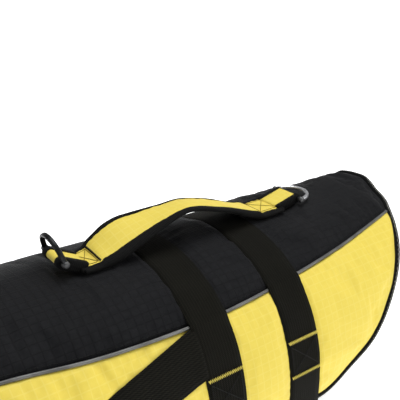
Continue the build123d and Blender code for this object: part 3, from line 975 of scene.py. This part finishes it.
# ============================================================
# Ring tabs and rings
# ============================================================
def tab_path(bar, root, clear):
    """Closed run round a ring's bar and back, as (x, z) points with outward normals."""
    away = (root - bar).normalized()
    up = Vector((away.y, -away.x)) if bar.x > 0 else Vector((-away.y, away.x))
    start = atan2(up.y, up.x)
    turn_way = 1 if bar.x < 0 else -1
    points = [(root + (bar - root) * k / 8 + up * clear, up) for k in range(8)]
    for k in range(19):
        angle = start + turn_way * pi * k / 18
        normal = Vector((cos(angle), sin(angle)))
        points.append((bar + normal * clear, normal))
    points += [(bar + (root - bar) * k / 8 - up * clear, -up) for k in range(1, 9)]
    return points


def tab(name, bar, root, clear, width):
    """Webbing loop with a yellow face of the width given and full bound edges."""
    points = tab_path(bar, root, clear)
    face = [(Vector((p.x, 0, p.y)) * MM, Vector((n.x, 0, n.y)), Vector((0, 1, 0))) for p, n in points]
    top = strip(name + "_tab_cloth", face, YELLOW, width=width, thick=1.6, across=8)
    settle(top, "vest", "yellow_ripstop", name + "_ring_tab")
    inner = width / 2 - 1
    profile = ((inner, -clear), (inner, 1.7), (inner + 0.8, 2.0), (15.5, 2.0), (16.2, 1.2),
               (16.4, -clear))
    for side, label in ((-1, "left"), (1, "right")):
        def place(i, j):
            (p, n), (y, out) = points[i], profile[j]
            return Vector((p.x + n.x * out, side * y, p.y + n.y * out)) * MM
        edge_tape = surface(name + "_tab_edge_" + label, len(points) - 1, 5, place, TAPE,
                            lambda i, j: (2.0 * i, 2.0 * j))
        settle(edge_tape, "vest", "black_binding")


tab("front", FRONT_BAR + Vector((-0.4, -1.2)), FRONT_ROOT, 3.3, 20)
tab("rear", REAR_BAR + Vector((-2.0, 0.4)), REAR_ROOT, 3.0, 26)

for name, x in (("front", FRONT_END), ("rear", REAR_END)):
    across = [handle_point(x, y, 2.8) for y in range(-20, 21, 2)]
    end = rope("handle_end_" + name, across, [Vector((0, 0, 1))] * len(across), oval(2.6, 2.9, 12),
               TAPE)
    settle(end, "vest", "black_binding")


BOW_STEPS, BOW_FOOT = 48, 3
ROD_PROFILE = ((-23.4, 0.0), (-23.4, 1.8), (-22.9, 2.9), (-21, 3.2), (-18.6, 3.1), (-17.9, 2.1),
               (17.9, 2.1), (18.6, 3.1), (21, 3.2), (22.9, 2.9), (23.4, 1.8), (23.4, 0.0))


def flattened(half_size, share):
    """Side of a rounded band: a circle's share from -1 to 1, squared off."""
    return half_size * abs(share) ** 0.7 * (1 if share > 0 else -1)


def ring(node, bar, finish, rod_finish):
    """D-ring: a flat bow and a bar with oval ends, leaning as its solid does."""
    points = [v.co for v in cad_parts[node].data.vertices]
    middle = sum(points, Vector()) / len(points)
    up = Vector((middle.x - bar.x * MM, 0, middle.z - bar.y * MM)).normalized()
    base = Vector((bar.x, 0, bar.y)) * MM
    line, out = [], []
    for k in range(-BOW_FOOT, BOW_STEPS + BOW_FOOT + 1):
        turn = pi * min(max(k, 0), BOW_STEPS) / BOW_STEPS
        normal = Vector((0, -cos(turn), 0)) + up * sin(turn)
        low = RING_RISE * (1 + min(k, 0) / BOW_FOOT - max(k - BOW_STEPS, 0) / BOW_FOOT)
        line.append(base + (normal * RING_R + up * low) * MM)
        out.append(normal)
    section = [(flattened(2.4, cos(a)), flattened(1.9, sin(a)))
               for a in [2 * pi * (k + 0.5) / 16 for k in range(16)]]
    bow = rope(node + "_bow", line, out, section, finish)
    settle(bow, node, "ring_steel", node)
    side = Vector((0, 1, 0)).cross(up)

    def place(i, j):
        y, radius = ROD_PROFILE[i]
        a = 2 * pi * j / 20
        return base + (Vector((0, y, 0)) + side * radius * 1.1 * cos(a) + up * radius * sin(a)) * MM
    rod = surface(node + "_rod", len(ROD_PROFILE) - 1, 20, place, rod_finish, lambda i, j: (4 * i, j))
    settle(rod, node, "ring_steel")


# The front ring's bow takes the near-black copy of the plating, a painted dark reflection
ring("front_ring", FRONT_BAR, DARK_REFLECTION_RING, ROD)
# Both ring bars use the dark grey copy of the plating, a painted dark reflection
ring("rear_ring", REAR_BAR, RING, ROD)

# --- Stitching on the handle -----------------------------------------------------------------------
SEWN_HALF = 13


def sewn(x, y):
    """Point just above the handle's cover."""
    return handle_point(x, y, cover_height(y) * quilt(x) + 0.25)


lines = []
for x0, x1 in ((-122, -107), (86, 111)):
    steps = [t / 12 for t in range(13)]
    for side in (-1, 1):
        lines.append([sewn(x0 + (x1 - x0) * t, side * SEWN_HALF) for t in steps])
        lines.append([sewn(x0 if side < 0 else x1, SEWN_HALF * (2 * t - 1)) for t in steps])
        lines.append([sewn(x0 + (x1 - x0) * t, side * SEWN_HALF * (2 * t - 1)) for t in steps])
# The handle's box stitches use the darker copy of the yellow thread, painted shade
settle(thread("handle_box_thread", lines, 0.3, SHADED_YELLOW_THREAD), "vest", "yellow_thread", "handle_stitching")


def cross_point(x, k):
    """Point k of the close zigzag across the cover at x."""
    y = -15 + 0.75 * k
    return handle_point(x + (0.8 if k % 2 else -0.8), y, cover_height(y) * quilt(x) + 0.5)


cross = [[cross_point(x, k) for k in range(41)] for x in (-105.4, 112.6)]
settle(thread("handle_cross_thread", cross, 0.6, DARK_THREAD), "vest", "black_webbing")


# ============================================================
# Chest pad
# ============================================================
PAD_MIDDLE = -PAD_GAP - PAD_T / 2


def pad_run(t, out):
    """Point (u, h) along the pad's bend, t from -1 to 1, out from the strap's inner face."""
    flat_end, corner = BELT_W - BELT_R, -CHEST_REACH + BELT_R
    radius = BELT_R + out
    q, side = abs(t) * (flat_end + radians(78) * BELT_R), (1 if t >= 0 else -1)
    if q < flat_end:
        return side * q, -CHEST_REACH - out
    turn = (q - flat_end) / BELT_R
    return side * (flat_end + radius * sin(turn)), corner - radius * cos(turn)


def pad_half(t):
    """Half width of the pad, a little less at its ends."""
    return PAD_HALF * (1 - 0.05 * abs(t) ** 3)


def chest_pad_place(i, j):
    """Pillow: outer face, then inner face, meeting round the edge."""
    k = j % (2 * PAD_ROWS)
    inner = k >= PAD_ROWS
    b = 1 - (k - PAD_ROWS) / (PAD_ROWS - 1) if inner else k / (PAD_ROWS - 1)
    t = 2 * i / PAD_COLUMNS - 1
    edge = min((1 - abs(t)) * 150, (1 - abs(2 * b - 1)) * PAD_HALF)
    plump = (1 - max(0, 1 - edge / 12) ** 2) ** 0.5
    dip = 1 - 0.06 * (1 - abs(t)) * (1 - abs(2 * b - 1))
    crease = 0.8 * ripple(t * 90, b * 40, 16, 4.0) * plump
    depth = PAD_T * plump * (0.92 + 0.08 * dip)
    out = -depth / 2 if inner else depth / 2 + crease * 0.6
    u, h = pad_run(t, PAD_MIDDLE + out)
    return chest_world(u, h, (2 * b - 1) * pad_half(t))


chest_pad = surface("chest_pad", PAD_COLUMNS, 2 * PAD_ROWS, chest_pad_place, YELLOW,
                    lambda i, j: (3.1 * i, 5.8 * (j % (2 * PAD_ROWS))))
settle(chest_pad, "vest", "yellow_ripstop", "chest_pad_cover", "chest_pad_foam")
RIM_STEPS = 240
rim_points, rim_lift = [], []
for k in range(RIM_STEPS):
    a = 2 * pi * k / RIM_STEPS
    scale = 1 / max(abs(cos(a)), abs(sin(a)))
    t, b = cos(a) * scale, sin(a) * scale
    corner = 1 - 0.03 * max(0, (abs(t) + abs(b) - 1.6) / 0.4)
    v = b * corner * pad_half(t)
    point, higher = [chest_world(*pad_run(t * corner, PAD_MIDDLE + up), v) for up in (0, 1)]
    rim_points.append(point)
    rim_lift.append((higher - point).normalized())
rim = rope("chest_pad_binding", rim_points, rim_lift, oval(2.6, 2.4, 10), TAPE, closed=True)
settle(rim, "vest", "black_binding")


# ============================================================
# Floor, light and camera
# ============================================================
FLOOR_Z = -0.1455


def floor():
    """Pale floor that glows to white away from the vest."""
    bm = bmesh.new()
    bmesh.ops.create_grid(bm, x_segments=1, y_segments=1, size=40)
    bmesh.ops.translate(bm, verts=bm.verts, vec=(0, 0, FLOOR_Z))
    f = Finish("pale floor", roughness=0.9, specular_ior_level=0.1)
    f.set("Base Color", rgb(0.93, 0.93, 0.93))
    centre = f.node("ShaderNodeVectorMath", {"operation": "LENGTH"}, {0: f.place()}, "Value")
    f.set("Emission Color", f.mix(centre.ramp(0.12, 0.36), rgb(0.35, 0.35, 0.35), rgb(1, 1, 1)))
    f.set("Emission Strength", 1.0)
    mesh_piece("floor", bm, f.material)


def lamp(name, place, target, size, power):
    light = bpy.data.lights.new(name, "AREA")
    light.shape, light.size, light.energy = "DISK", size, power
    holder = linked(name, light)
    holder.location = place
    holder.rotation_euler = (Vector(target) - Vector(place)).to_track_quat("-Z", "Y").to_euler()


def studio():
    floor()
    lamp("overhead", (0.25, 0.1, 1.7), (0, 0, 0.05), 1.1, 20)
    lamp("near side", (1.3, -1.6, 1.1), (0.05, 0, 0), 1.0, 13.5)
    lamp("head side", (-1.9, -0.5, 1.0), (0, 0, 0.05), 1.0, 3)
    world = bpy.data.worlds.new("studio")
    bpy.context.scene.world = world
    world.use_nodes = True
    background = world.node_tree.nodes["Background"]
    background.inputs["Color"].default_value = rgb(1, 1, 1)
    background.inputs["Strength"].default_value = 0.25
    bpy.context.scene.view_settings.view_transform = "Standard"


def camera():
    target = Vector((16.0, 0, HALF + 31.4)) * MM
    azimuth, elevation, distance = radians(36.81), radians(21.55), 645.6 * MM
    back = Vector((-sin(azimuth) * cos(elevation), -cos(azimuth) * cos(elevation), sin(elevation)))
    data = bpy.data.cameras.new("camera")
    data.lens, data.sensor_width = 58.03, 36.0
    data.clip_start = 0.02
    holder = linked("camera", data)
    holder.location = target + back * distance
    holder.rotation_euler = (-back).to_track_quat("-Z", "Y").to_euler()
    bpy.context.scene.camera = holder


studio()
camera()

bpy.context.view_layer.update()
